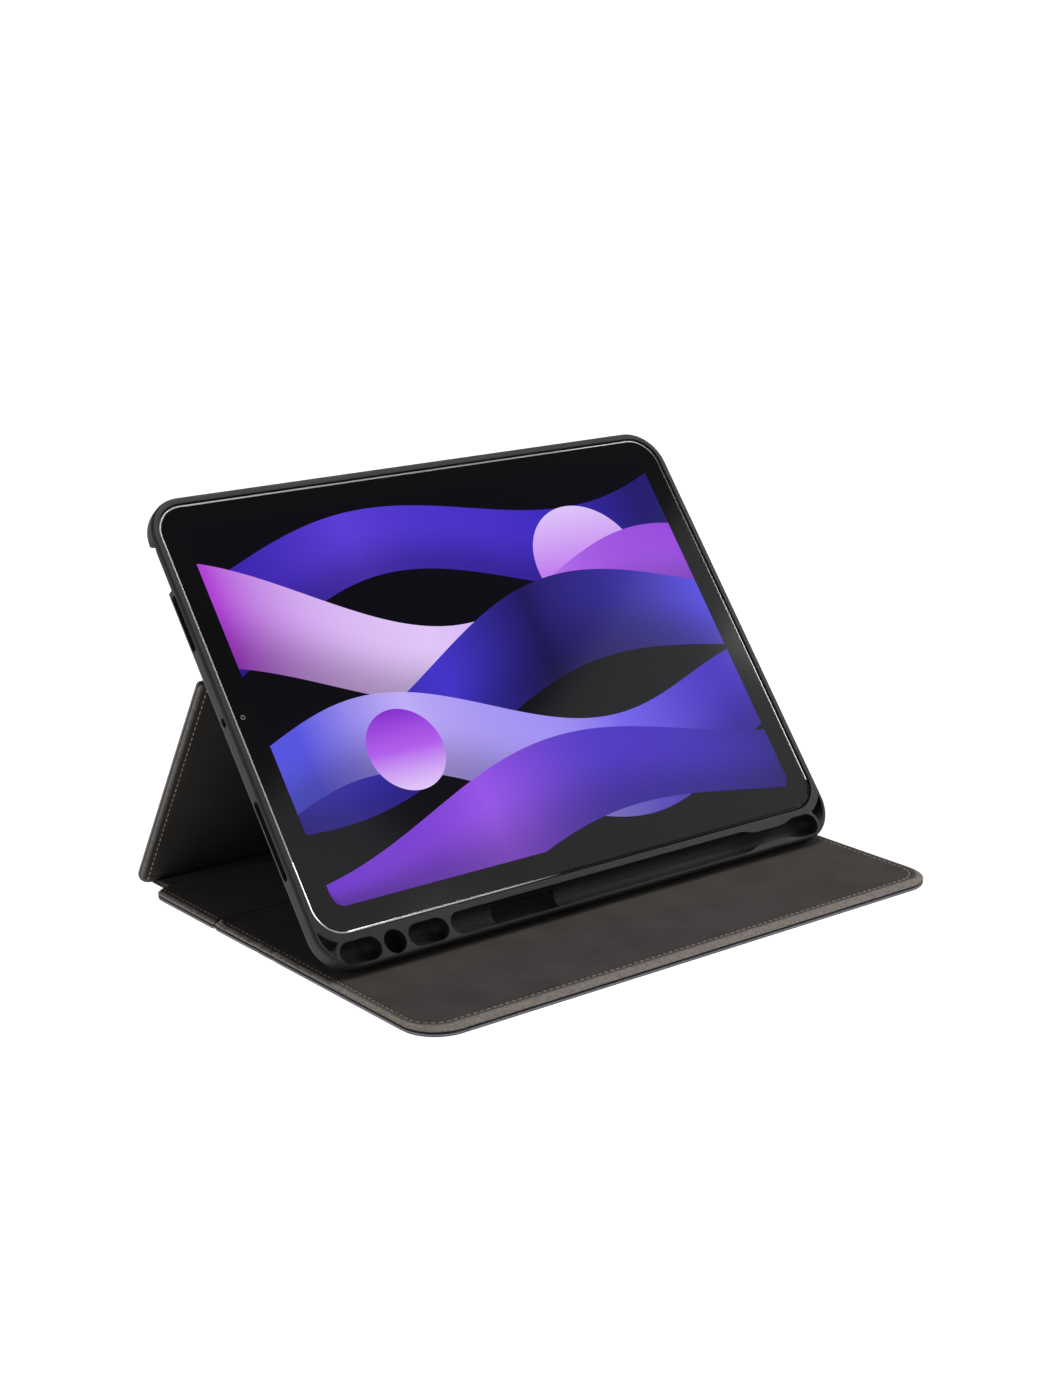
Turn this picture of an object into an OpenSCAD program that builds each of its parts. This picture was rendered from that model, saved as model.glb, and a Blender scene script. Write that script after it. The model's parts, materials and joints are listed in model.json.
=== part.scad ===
// Folio case for a tablet, propped open as a stand with the tablet in it.
// Millimetres, +Z up, the screen faces -Y and leans back. The origin is the middle of
// the front cover section's underside, which lies flat on the table.

/* [Tablet] */
// Length of the tablet's long side
tablet_w = 247.6; // [235:0.1:260]
// Length of the tablet's short side
tablet_h = 178.5; // [168:0.1:190]
// Thickness of the tablet without its camera
tablet_t = 6.1; // [5.6:0.1:7.5]
// Radius of the tablet's corners in plan
tablet_corner = 12.5; // [10:0.5:15]
// Width of the bright rim between the glass and the tablet's side
rim_w = 1; // [0.8:0.1:1.4]
// Thickness of the cover glass
glass_t = 0.7; // [0.5:0.1:1]
// Black border round the display
bezel = 10.3; // [8:0.1:12]
// Chamfer on the tablet's long edges
tablet_chamfer = 0.4; // [0.2:0.1:0.6]

/* [Shell] */
// Wall of the moulded tray round the tablet
shell_wall = 2.8; // [2.4:0.1:3.6]
// Thickness of the tray's back
shell_back = 1.7; // [1.4:0.1:2.4]
// Height of the tray's lip above the glass
lip_h = 0.8; // [0.5:0.1:1.4]
// Running gap between the tablet and the tray
tablet_gap = 0.3; // [0.2:0.05:0.4]
// Radius of the tray's corners in plan
shell_corner = 16; // [15:0.5:19]
// Rounding of the tray's back edge
shell_round = 4.5; // [3.5:0.1:4.8]
// Rounding of the lip's outer edge
lip_round = 1.4; // [0.8:0.1:2]

/* [Stylus rail] */
// Height of the rail below the tablet's seat
rail_h = 13.1; // [12.5:0.1:14.5]
// Width of the trough that holds the stylus
trough_w = 9; // [8.4:0.1:9.4]
// Depth of the trough and of the oval pockets
trough_depth = 7.3; // [6.6:0.1:7.4]
// Thin wall along the rail's outer side
rail_rim = 1.5; // [1.2:0.1:1.8]
// Where the trough starts, left of the middle
trough_start = 70.2; // [60:0.1:76]
// Where the trough ends, right of the middle
trough_end = 117.6; // [112:0.1:118]
// Opening between the lips at the waist of the trough
waist_w = 5.4; // [4.6:0.1:7]
// Length of the waist's straight part
waist_len = 12; // [8:0.5:16]
// Middle of the waist, right of the middle
waist_x = 92; // [88:0.5:94]
// Length of the opening through the trough's floor
push_len = 30; // [20:1:36]
// Middle of that opening, left of the middle
push_x = 32; // [26:1:36]
// Length of each oval pocket
pocket_len = 17.7; // [14:0.1:18]
// Diameter of the round pocket between them
tip_hole_d = 9.3; // [8:0.1:9.4]
// Thickness of the ribs between the pockets
pocket_rib = 1.5; // [1:0.1:1.6]

/* [Folding cover] */
// Width of the cover
cover_w = 251; // [246:0.5:256]
// Depth of the front section, from its free edge to the crease
front_len = 139.5; // [128:0.5:148]
// Depth of the rear section, from the crease to the spine
rear_len = 48.5; // [42:0.5:54]
// Height of the support panel
support_len = 112.6; // [104:0.1:118]
// Thickness of the outer skin
skin_t = 0.9; // [0.7:0.05:1.1]
// Thickness of the stiffening boards
board_t = 1.5; // [1.2:0.1:1.8]
// Thickness of the lining over the boards
lining_t = 0.8; // [0.6:0.05:1]
// Thickness of the stitched edge, skin and lining together
edge_t = 2.8; // [2.2:0.05:3]
// Width of the sloping border outside the boards
border = 5.5; // [4:0.1:7]
// Corner radius at the free edge
front_corner = 15; // [12:0.5:18]
// Corner radius at the spine
fold_corner = 8; // [6:0.5:10]
// Corner radius where the support panel turns into the back panel
turn_corner = 1.5; // [1:0.1:4]
// Width of the soft strip at the spine, which lies on the table behind the rear section
spine_w = 12.9; // [8:0.1:16]
// Width of the soft strip behind the shell
back_strip_w = 2.4; // [2:0.1:4]
// How much narrower the back panel is than the flat of the shell's back
back_side = 2; // [0:0.5:8]

/* [Stand] */
// Distance from the cover's free edge to the line where the shell stands
seat_in = 63.4; // [52:0.1:70]
// Gap between the shell and the lining under it
seat_gap = 0.25; // [0.2:0.05:0.4]
// How far up the shell's back the fold lies, above the middle of the screen
fold_v = 22; // [18:0.5:30]
// Gap between the folded support panel and the shell's back
fold_gap = 0.3; // [0.2:0.05:0.4]

/* [Buttons and windows] */
// Length of each volume button's cover
key_cover_len = 12; // [10:0.5:14]
// Width of each volume button's cover
key_cover_w = 3.6; // [3:0.1:4]
// How far the covers stand above the wall
cover_proud = 0.4; // [0.2:0.1:0.6]
// How far the tablet's own volume keys stand out of its side
key_proud = 0.2; // [0.15:0.01:0.22]
// Distance between the two covers' middles
key_pitch = 15; // [14.5:0.5:18]
// Distance from the tablet's left end to the pair's middle
key_in = 43.8; // [36:0.1:56]
// How far a cover can be pressed
key_travel = 0.2; // [0.1:0.01:0.2]
// Distance from the tablet's top edge to the power button's middle
power_in = 23.2; // [18:0.1:30]
// Side of the square camera window
camera_window = 19; // [17:0.5:22]
// Distance from the tablet's edges to the camera's middle
camera_in = 15; // [14:0.5:17]
// Outer diameter of the camera's ring
camera_d = 13.5; // [11:0.5:14.5]
// How far the camera stands out of the tablet's back
camera_proud = 1.1; // [0.8:0.1:1.4]

/* [Hidden] */
$fn = 64;

over = 1;               // how far a cutter runs past a face
fit_gap = 0.15;         // slip gap round small inserts
crease_gap = 0.2;       // gap between two sections at a fold

// Tray, in its own frame: x along the screen, y up the screen, z out of the glass
seat_w = tablet_w + 2*tablet_gap;
seat_h = tablet_h + 2*tablet_gap;
seat_corner = tablet_corner + tablet_gap;
back_gap = 0.1;                                   // between the tablet's back and the tray
floor_z = -tablet_t - back_gap;
back_z = floor_z - shell_back;
shell_w = seat_w + 2*shell_wall;
shell_top = seat_h/2 + shell_wall;
shell_bottom = -seat_h/2 - rail_h;
wall_x = seat_w/2;                                // inner face of the side walls
rail_mid = shell_bottom + rail_rim + trough_w/2;  // middle of the trough and pockets
trough_r = trough_w/2;

// Folding cover
panel_t = skin_t + board_t + lining_t;
back_stack = panel_t + fold_gap;                  // skin, board and tape behind the shell
tape_t = back_stack - skin_t - board_t;
board_in = border + 1;                            // from a section's edge to its board
front_y = -front_len/2;                           // free edge
crease_y = front_len/2;
spine_y = crease_y + rear_len;
back_face = back_z - back_stack;                  // outer face of the back panel
back_panel_w = shell_w - 2*shell_round - back_side;
back_panel_top = shell_top - 2.2;

// Stand: a triangle of the spine's fold, the fold behind the shell and the shell's foot
spine_fold = [spine_y + spine_w, skin_t];         // on the soft strip's upper face
foot = [front_y + seat_in, panel_t + seat_gap + shell_round];
foot_local = [shell_bottom + shell_round, back_z + shell_round];
fold_local = [fold_v, back_face];
side_a = norm([support_len, skin_t]);
side_b = norm(fold_local - foot_local);
side_d = norm(spine_fold - foot);
base_angle = atan2(spine_fold[1] - foot[1], spine_fold[0] - foot[0]);
foot_angle = acos((side_d*side_d + side_b*side_b - side_a*side_a) / (2*side_d*side_b));
spine_angle = acos((side_d*side_d + side_a*side_a - side_b*side_b) / (2*side_d*side_a));
tilt = base_angle + foot_angle
     - atan2(fold_local[1] - foot_local[1], fold_local[0] - foot_local[0]);
support_turn = base_angle + 180 - spine_angle + atan2(skin_t, support_len);
screen = foot - [cos(tilt)*foot_local[0] - sin(tilt)*foot_local[1],
                 sin(tilt)*foot_local[0] + cos(tilt)*foot_local[1]];
echo(tilt = tilt, support_turn = support_turn, screen = screen, spine_fold = spine_fold);

// ---- Frames -------------------------------------------------------------------------

// Puts a shape drawn on the screen's plane into its place on the stand
module on_screen() {
    translate([0, screen[0], screen[1]]) rotate([tilt, 0, 0]) children();
}

// Puts a panel drawn flat, outer face on z = 0 and fold at y = 0, into the support's place
module on_support() {
    translate([0, spine_fold[0], spine_fold[1]]) rotate([support_turn, 0, 0])
        translate([0, 0, -skin_t]) children();
}

// ---- Outlines and edges ---------------------------------------------------------------

// Rectangle w wide from y0 to y1 with its corners rounded, low ones by r0, high ones by r1
module outline(w, y0, y1, r0, r1) {
    translate([-w/2, y0 + r0]) square([w, y1 - y0 - r0 - r1]);
    if (r0 > 0) {
        translate([-w/2 + r0, y0]) square([w - 2*r0, r0]);
        for (side = [-1, 1]) translate([side*(w/2 - r0), y0 + r0]) circle(r0);
    }
    if (r1 > 0) {
        translate([-w/2 + r1, y1 - r1]) square([w - 2*r1, r1]);
        for (side = [-1, 1]) translate([side*(w/2 - r1), y1 - r1]) circle(r1);
    }
}

// A slab of that outline between two heights
module slab(w, y0, y1, r0, r1, z0, z1) {
    translate([0, 0, z0]) linear_extrude(z1 - z0) outline(w, y0, y1, r0, r1);
}

// Runs a profile along one straight edge. The profile's x is the way in from the edge
module straight_edge(length) {
    rotate([90, 0, 90]) translate([0, 0, -length/2]) linear_extrude(length) children();
}

// Runs a profile round the quarter turn of a corner of radius r
module corner_edge(r) {
    rotate_extrude(angle = 90) translate([r, 0]) mirror([1, 0]) children();
}

// Runs a profile round the edges of an outline. low and high say which ends are shaped
module edge_run(w, y0, y1, r0, r1, low = true, high = true) {
    y_start = low ? y0 + r0 : y0 - over;
    y_stop = high ? y1 - r1 : y1 + over;
    for (side = [-1, 1])
        translate([side*w/2, (y_start + y_stop)/2, 0]) rotate([0, 0, 90*side])
            straight_edge(y_stop - y_start) children();
    if (low) {
        translate([0, y0, 0]) straight_edge(w - 2*r0) children();
        translate([-w/2 + r0, y0 + r0, 0]) rotate([0, 0, 180]) corner_edge(r0) children();
        translate([w/2 - r0, y0 + r0, 0]) rotate([0, 0, 270]) corner_edge(r0) children();
    }
    if (high) {
        translate([0, y1, 0]) rotate([0, 0, 180]) straight_edge(w - 2*r1) children();
        translate([w/2 - r1, y1 - r1, 0]) corner_edge(r1) children();
        translate([-w/2 + r1, y1 - r1, 0]) rotate([0, 0, 90]) corner_edge(r1) children();
    }
}

// What a fillet of radius r takes off an edge at height z. up is 1 on a top edge
module fillet_waste(r, z, up) {
    difference() {
        translate([-over, up > 0 ? z - r : z - over]) square([r + over, r + over]);
        translate([r, z - up*r]) circle(r);
    }
}

// What the sloping border takes off a section's lining
module border_waste() {
    polygon([[-over, edge_t], [0, edge_t], [border, panel_t], [border, panel_t + over],
             [-over, panel_t + over]]);
}

// What a chamfer of size c takes off an edge at height z. up is 1 on a top edge
module chamfer_waste(c, z, up) {
    polygon([[-over, z + up*over], [c, z + up*over], [c, z], [0, z - up*c],
             [-over, z - up*c]]);
}

// ---- Sections of the folding cover, drawn flat ----------------------------------------

// Outer skin of a section from y0 to y1, with a soft lower edge
module skin(w, y0, y1, r0, r1, low, high) {
    difference() {
        slab(w, y0, y1, r0, r1, 0, skin_t);
        edge_run(w, y0, y1, r0, r1, low, high) fillet_waste(skin_t*0.6, 0, -1);
    }
}

// Board, inset from the stitched edges and stopped short of a plain fold
module board_outline(w, y0, y1, r0, r1, low, high, inset) {
    outline(w - 2*inset, low ? y0 + inset : y0 + 1.5, high ? y1 - inset : y1 - 1.5,
            max(r0 - inset, 1.5), max(r1 - inset, 1.5));
}

module board(w, y0, y1, r0, r1, low, high) {
    translate([0, 0, skin_t]) linear_extrude(board_t)
        board_outline(w, y0, y1, r0, r1, low, high, board_in + fit_gap);
}

// Lining that caps the board and slopes down to the stitched edge
module lining(w, y0, y1, r0, r1, low, high) {
    difference() {
        slab(w, y0, y1, r0, r1, skin_t, panel_t);
        edge_run(w, y0, y1, r0, r1, low, high) border_waste();
        translate([0, 0, skin_t - over]) linear_extrude(board_t + over)
            board_outline(w, y0, y1, r0, r1, low, high, board_in);
    }
}

// ---- Front section --------------------------------------------------------------------

front_stop = crease_y - crease_gap/2;

module front_skin() {
    color([0.16, 0.16, 0.18])
        skin(cover_w, front_y, front_stop, front_corner, 0, true, false);
}

// Magnet places under the lining: a row of bars below the shell's foot, discs at the edge
seat_bar = [22, 7];
seat_bars = [-90, -45, 45, 90];
edge_disc_d = 8;
edge_discs = [-96, -70, 70, 96];

module seat_bar_plan(gap) {
    for (x = seat_bars)
        translate([x - seat_bar[0]/2 - gap, foot[0] - seat_bar[1]/2 - gap])
            square([seat_bar[0] + 2*gap, seat_bar[1] + 2*gap]);
}

module edge_disc_plan(gap) {
    for (x = edge_discs)
        translate([x, front_y + board_in + edge_disc_d]) circle(d = edge_disc_d + 2*gap);
}

module front_board() {
    color([0.75, 0.72, 0.66]) difference() {
        board(cover_w, front_y, front_stop, front_corner, 0, true, false);
        translate([0, 0, skin_t - over]) linear_extrude(board_t + 2*over) {
            seat_bar_plan(fit_gap);
            edge_disc_plan(fit_gap);
        }
    }
}

module front_lining() {
    color([0.27, 0.25, 0.24])
        lining(cover_w, front_y, front_stop, front_corner, 0, true, false);
}

module seat_magnets() {
    color("silver") translate([0, 0, skin_t]) linear_extrude(board_t) seat_bar_plan(0);
}

module closing_magnets() {
    color("silver") translate([0, 0, skin_t]) linear_extrude(board_t) edge_disc_plan(0);
}

// ---- Rear section and spine -----------------------------------------------------------

rear_start = crease_y + crease_gap/2;
rear_stop = spine_y - crease_gap/2;   // the strip then ends half a gap short of the fold

module rear_skin() {
    color([0.16, 0.16, 0.18]) skin(cover_w, rear_start, rear_stop, 0, fold_corner, false, true);
}

module rear_board() {
    color([0.75, 0.72, 0.66])
        board(cover_w, rear_start, rear_stop, 0, fold_corner, false, true);
}

module rear_lining() {
    color([0.27, 0.25, 0.24])
        lining(cover_w, rear_start, rear_stop, 0, fold_corner, false, true);
}

// Soft strip with no board in it, between the rear section and the fold
module spine_strip() {
    color([0.2, 0.2, 0.21])
        translate([-cover_w/2 + fold_corner, rear_stop, 0])
            cube([cover_w - 2*fold_corner, spine_w, skin_t]);
}

// ---- Support panel --------------------------------------------------------------------

support_start = crease_gap/2;
support_stop = support_len - crease_gap/2;
padded_start = 1.7;             // board and lining stop short, clear of the soft strip

module support_skin() {
    color([0.16, 0.16, 0.18]) on_support()
        skin(cover_w, support_start, support_stop, fold_corner, turn_corner, true, true);
}

module support_board() {
    color([0.75, 0.72, 0.66]) on_support()
        board(cover_w, padded_start, support_stop, fold_corner, turn_corner, true, false);
}

module support_lining() {
    color([0.27, 0.25, 0.24]) on_support()
        lining(cover_w, padded_start, support_stop, fold_corner, turn_corner, true, false);
}

// ---- Back panel, behind the upper part of the shell -----------------------------------

back_start = fold_v + back_strip_w + crease_gap/2;
camera_x = -tablet_w/2 + camera_in;
camera_y = tablet_h/2 - camera_in;
window_corner = 5;

// Camera window through everything from z0 to z1, widened by grow
module camera_hole(z0, z1, grow = 0) {
    translate([camera_x, camera_y, 0])
        slab(camera_window + 2*grow, -camera_window/2 - grow, camera_window/2 + grow,
             window_corner + grow, window_corner + grow, z0, z1);
}

// Soft strip between the support panel and the back panel
module back_strip() {
    color([0.2, 0.2, 0.21]) on_screen()
        translate([-back_panel_w/2 + turn_corner, fold_v + crease_gap/2, back_face])
            cube([back_panel_w - 2*turn_corner, back_strip_w - crease_gap, skin_t]);
}

module back_skin() {
    color([0.16, 0.16, 0.18]) on_screen() difference() {
        translate([0, 0, back_face])
            skin(back_panel_w, back_start, back_panel_top, turn_corner, front_corner,
                 true, true);
        camera_hole(back_face - over, back_z);
    }
}

module back_board() {
    color([0.75, 0.72, 0.66]) on_screen() difference() {
        slab(back_panel_w - 2, back_start + 1, back_panel_top - 1, turn_corner/2,
             front_corner - 1, back_face + skin_t, back_face + skin_t + board_t);
        camera_hole(back_face, back_z, 0.8);
    }
}

module back_tape() {
    color([0.1, 0.1, 0.1]) on_screen() difference() {
        slab(back_panel_w - 4, back_start + 2, back_panel_top - 2, turn_corner/2,
             front_corner - 2, back_z - tape_t, back_z);
        camera_hole(back_face, back_z + over, 0.8);
    }
}

// ---- Moulded shell --------------------------------------------------------------------

trough_left = -trough_start;
trough_right = trough_end;
pocket_top = lip_h + over;

// A pocket with round ends and a half-round floor, from x0 to x1
module round_pocket(x0, x1) {
    axis_z = lip_h - trough_depth + trough_r;
    a = x0 + trough_r;
    b = x1 - trough_r;
    translate([0, rail_mid, 0]) {
        translate([a, 0, axis_z]) rotate([0, 90, 0]) cylinder(r = trough_r, h = b - a);
        for (x = [a, b]) {
            translate([x, 0, axis_z]) sphere(trough_r);
            translate([x, 0, axis_z]) cylinder(r = trough_r, h = pocket_top - axis_z);
        }
        translate([a, -trough_r, axis_z]) cube([b - a, trough_w, pocket_top - axis_z]);
    }
}

// Lips that close in over the trough at its waist, as an S on each side
module waist_lips() {
    bend_r = 14;
    pinch = (trough_w - waist_w)/2;
    run = sqrt(pow(2*bend_r, 2) - pow(2*bend_r - pinch, 2));
    half = waist_len/2 + run;
    lip_t = 2.4;
    for (side = [-1, 1])
        translate([waist_x, rail_mid, lip_h - lip_t]) scale([1, side, 1])
            linear_extrude(lip_t) difference() {
                translate([-half, waist_w/2]) square([2*half, pinch + over/2]);
                for (end = [-1, 1]) {
                    translate([end*half, trough_r - bend_r]) circle(bend_r);
                    difference() {
                        translate([end*(waist_len/2 + run/4) - run/4, waist_w/2 - over])
                            square([run/2, pinch + over]);
                        translate([end*waist_len/2, waist_w/2 + bend_r]) circle(bend_r);
                    }
                }
            }
}

// Two oval pockets with a round one between them, left of the trough
inner_pocket = trough_left - pocket_rib - pocket_len;
tip_x = inner_pocket - pocket_rib - tip_hole_d/2;
outer_pocket = tip_x - tip_hole_d/2 - pocket_rib - pocket_len;

module pocket_row() {
    for (x = [inner_pocket, outer_pocket]) round_pocket(x, x + pocket_len);
    translate([tip_x, rail_mid, lip_h - trough_depth])
        cylinder(d = tip_hole_d, h = trough_depth + over);
}

// The three-sided hole through a lower corner. side is -1 on the left
module corner_hole(side) {
    outer_wall = 1.9;
    seat_web = 3.8;
    end_x = side < 0 ? outer_pocket + trough_r : trough_right - trough_r;
    translate([0, 0, back_z - over]) linear_extrude(lip_h - back_z + 2*over) difference() {
        intersection() {
            translate([side*(shell_w/2 - shell_corner), shell_bottom + shell_corner])
                circle(shell_corner - outer_wall);
            translate([side*(shell_w/2 - shell_corner/2), shell_bottom + shell_corner*0.6])
                square([shell_corner, shell_corner*1.2], center = true);
        }
        translate([side*(tablet_w/2 - tablet_corner), -tablet_h/2 + tablet_corner])
            circle(tablet_corner + seat_web);
        translate([end_x, rail_mid]) circle(trough_r + pocket_rib);
    }
}

// A slot through a side wall: along y from y0 to y1, across z from z0 to z1
module side_slot(side, y0, y1, z0, z1) {
    r = (z1 - z0)/2;
    translate([side*(wall_x + shell_wall/2), 0, 0]) rotate([0, 90, 0])
        translate([0, 0, -shell_wall/2 - over]) linear_extrude(shell_wall + 2*over) {
            if (y1 - y0 > 2*r) translate([-z1, y0 + r]) square([z1 - z0, y1 - y0 - 2*r]);
            for (y = [y0 + r, y1 - r]) translate([-(z0 + z1)/2, y]) circle(r);
        }
}

speaker_z = [-3.9, -0.8];
left_speakers = [[30, 53.5], [-64, -32]];
right_speakers = [[32, 64], [-64, -32]];
notch_len = 21;                 // open through to the back, round the power button
notch_in = 3;                   // how far it reaches into the tray's back
notch_top = -1;
port_y = 7.5;
port_z = [-6.7, -0.6];
mic_y = 0.2;
mic_z = -2.1;
mic_size = [3.8, 2.5];

// Places of the volume buttons along the top wall, the upper one first
key_mid = -tablet_w/2 + key_in;
key_places = [key_mid - key_pitch/2, key_mid + key_pitch/2];
key_z = -tablet_t/2;

// Plan of a volume button's cover, seen from above the top wall
module key_plan(length, width) {
    r = width/2;
    translate([-length/2 + r, -r]) square([length - 2*r, width]);
    for (x = [-length/2 + r, length/2 - r]) translate([x, 0]) circle(r);
}

// Stands a plan up on the top wall at x, from y0 to y1
module on_top_wall(x, y0, y1) {
    translate([x, y1, key_z]) rotate([90, 0, 0]) linear_extrude(y1 - y0) children();
}

module shell_form() {
    difference() {
        slab(shell_w, shell_bottom, shell_top, shell_corner, shell_corner, back_z, lip_h);
        edge_run(shell_w, shell_bottom, shell_top, shell_corner, shell_corner)
            fillet_waste(shell_round, back_z, -1);
        edge_run(shell_w, shell_bottom, shell_top, shell_corner, shell_corner)
            fillet_waste(lip_round, lip_h, 1);
    }
}

// Bars sealed in the wall between the tablet's seat and the trough
magnet = [24, 1.1, 4];
magnet_pitch = seat_w*0.225;
magnet_skin = 0.6;              // rubber between a bar and the seat

module magnet_slots() {
    for (i = [-1.5:1.5])
        translate([i*magnet_pitch - magnet[0]/2, -seat_h/2 - magnet_skin - magnet[1],
                   floor_z + 1.2])
            cube(magnet);
}

module shell() {
    color([0.24, 0.235, 0.235]) on_screen() union() {
        difference() {
            shell_form();
            slab(seat_w, -seat_h/2, seat_h/2, seat_corner, seat_corner, floor_z,
                 lip_h + over);
            camera_hole(back_z - over, floor_z + over);
            for (s = left_speakers) side_slot(-1, s[0], s[1], speaker_z[0], speaker_z[1]);
            for (s = right_speakers) side_slot(1, s[0], s[1], speaker_z[0], speaker_z[1]);
            side_slot(-1, mic_y - mic_size[0]/2, mic_y + mic_size[0]/2,
                      mic_z - mic_size[1]/2, mic_z + mic_size[1]/2);
            side_slot(1, -port_y, port_y, port_z[0], port_z[1]);
            translate([-wall_x - shell_wall - over, power_y - notch_len/2, back_z - over])
                cube([shell_wall + over + notch_in, notch_len, notch_top - back_z + over]);
            for (x = key_places)
                on_top_wall(x, seat_h/2 - over, shell_top + over)
                    key_plan(key_cover_len + 2*fit_gap, key_cover_w + 2*fit_gap);
            pocket_row();
            round_pocket(trough_left, trough_right);
            translate([-push_x - push_len/2, rail_mid - trough_r + 0.6, back_z - over])
                cube([push_len, trough_w - 1.2, trough_depth]);
            corner_hole(-1);
            corner_hole(1);
            magnet_slots();
        }
        waist_lips();
    }
}

module edge_magnets() {
    color("silver") on_screen() magnet_slots();
}

// Cover of one volume button, with the pip that reaches the tablet's key
module key_cover(x) {
    pip = [8, 1.8];
    pip_gap = 0.08;
    base_y = seat_h/2;
    color([0.24, 0.235, 0.235]) on_screen() {
        on_top_wall(x, base_y, shell_top + cover_proud)
            key_plan(key_cover_len, key_cover_w);
        on_top_wall(x, tablet_h/2 + key_proud + pip_gap, base_y) key_plan(pip[0], pip[1]);
    }
}

module volume_up_cover() { key_cover(key_places[0]); }
module volume_down_cover() { key_cover(key_places[1]); }

// ---- Tablet ---------------------------------------------------------------------------

glass_w = tablet_w - 2*rim_w;
glass_h = tablet_h - 2*rim_w;
glass_corner = tablet_corner - rim_w;
display_t = 0.6;
key_size = [10, 2.4];
key_depth = 1;
power_size = [15.5, 2.6];
power_y = tablet_h/2 - power_in;
power_travel = 0.3;
mesh_t = 0.8;
speaker_w = 1.8;
port_size = [9, 3.2];
port_depth = 6;

bay = [212, 150];                 // hollow behind the display
bay_corner = 6;
bay_floor = -tablet_t + 0.8;
cell = [96, 138, 3.4];

// A long recess in the tablet's side. side is -1 on the left
module side_recess(side, y0, y1, width, depth) {
    r = width/2;
    translate([side*(tablet_w/2 - depth/2), 0, -tablet_t/2]) rotate([0, 90, 0])
        linear_extrude(depth, center = true) {
            translate([-r, y0 + r]) square([width, y1 - y0 - 2*r]);
            for (y = [y0 + r, y1 - r]) translate([0, y]) circle(r);
        }
}

module tablet_housing() {
    color([0.62, 0.62, 0.64]) on_screen() difference() {
        slab(tablet_w, -tablet_h/2, tablet_h/2, tablet_corner, tablet_corner, -tablet_t, 0);
        edge_run(tablet_w, -tablet_h/2, tablet_h/2, tablet_corner, tablet_corner) {
            chamfer_waste(tablet_chamfer, 0, 1);
        }
        edge_run(tablet_w, -tablet_h/2, tablet_h/2, tablet_corner, tablet_corner) {
            chamfer_waste(tablet_chamfer, -tablet_t, -1);
        }
        slab(glass_w, -glass_h/2, glass_h/2, glass_corner, glass_corner,
             -glass_t - display_t, over);
        slab(bay[0], -bay[1]/2, bay[1]/2, bay_corner, bay_corner, bay_floor, 0);
        for (s = left_speakers)
            side_recess(-1, s[0] + 1, s[1] - 1, speaker_w, mesh_t);
        for (s = right_speakers)
            side_recess(1, s[0] + 1, s[1] - 1, speaker_w, mesh_t);
        side_recess(1, -port_size[0]/2, port_size[0]/2, port_size[1], port_depth);
        side_recess(-1, power_y - power_size[0]/2 - fit_gap, power_y + power_size[0]/2 + fit_gap,
                    power_size[1] + 2*fit_gap, key_depth + power_travel + fit_gap);
        for (x = key_places)
            on_top_wall(x, tablet_h/2 - key_depth - key_travel - fit_gap, tablet_h/2 + over)
                key_plan(key_size[0] + 2*fit_gap, key_size[1] + 2*fit_gap);
    }
}

module cover_glass() {
    color([0.03, 0.03, 0.035]) on_screen()
        slab(glass_w - 2*fit_gap, -glass_h/2 + fit_gap, glass_h/2 - fit_gap,
             glass_corner - fit_gap, glass_corner - fit_gap, -glass_t, 0);
}

module display_panel() {
    display_h = tablet_h - 2*bezel;
    color([0.35, 0.2, 0.7]) on_screen()
        slab(tablet_w - 2*bezel, -display_h/2, display_h/2, 5, 5, -glass_t - display_t,
             -glass_t);
}

module front_camera() {
    color([0.3, 0.05, 0.05]) on_screen()
        translate([-tablet_w/2 + bezel*0.4, 0, -glass_t - display_t])
            cylinder(d = 3, h = display_t);
}

module rear_camera_ring() {
    color([0.5, 0.5, 0.52]) on_screen()
        translate([camera_x, camera_y, -tablet_t - camera_proud]) difference() {
            cylinder(d = camera_d, h = camera_proud);
            translate([0, 0, -over]) cylinder(d = camera_d - 3, h = camera_proud + 2*over);
        }
}

module rear_camera_lens() {
    color([0.05, 0.05, 0.07]) on_screen()
        translate([camera_x, camera_y, -tablet_t - camera_proud + 0.2])
            cylinder(d = camera_d - 3, h = camera_proud - 0.2);
}

// The two flat battery cells inside the housing
module battery_cells() {
    color([0.1, 0.1, 0.11]) on_screen()
        for (side = [-1, 1])
            translate([side*(cell[0]/2 + 3) - cell[0]/2, -cell[1]/2, bay_floor]) cube(cell);
}

module speaker_meshes() {
    color([0.05, 0.05, 0.05]) on_screen() {
        for (s = left_speakers) side_recess(-1, s[0] + 1, s[1] - 1, speaker_w, mesh_t);
        for (s = right_speakers) side_recess(1, s[0] + 1, s[1] - 1, speaker_w, mesh_t);
    }
}

module charging_port() {
    color([0.3, 0.3, 0.32]) on_screen() difference() {
        side_recess(1, -port_size[0]/2, port_size[0]/2, port_size[1], port_depth);
        translate([over, 0, 0])
            side_recess(1, -port_size[0]/2 + 0.3, port_size[0]/2 - 0.3, port_size[1] - 0.6,
                        port_depth);
    }
}

module power_button() {
    color([0.66, 0.66, 0.68]) on_screen()
        side_recess(-1, power_y - power_size[0]/2, power_y + power_size[0]/2, power_size[1],
                    key_depth);
}

module volume_key(x) {
    color([0.66, 0.66, 0.68]) on_screen()
        on_top_wall(x, tablet_h/2 - key_depth, tablet_h/2 + key_proud)
            key_plan(key_size[0], key_size[1]);
}

module volume_up_key() { volume_key(key_places[0]); }
module volume_down_key() { volume_key(key_places[1]); }

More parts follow.
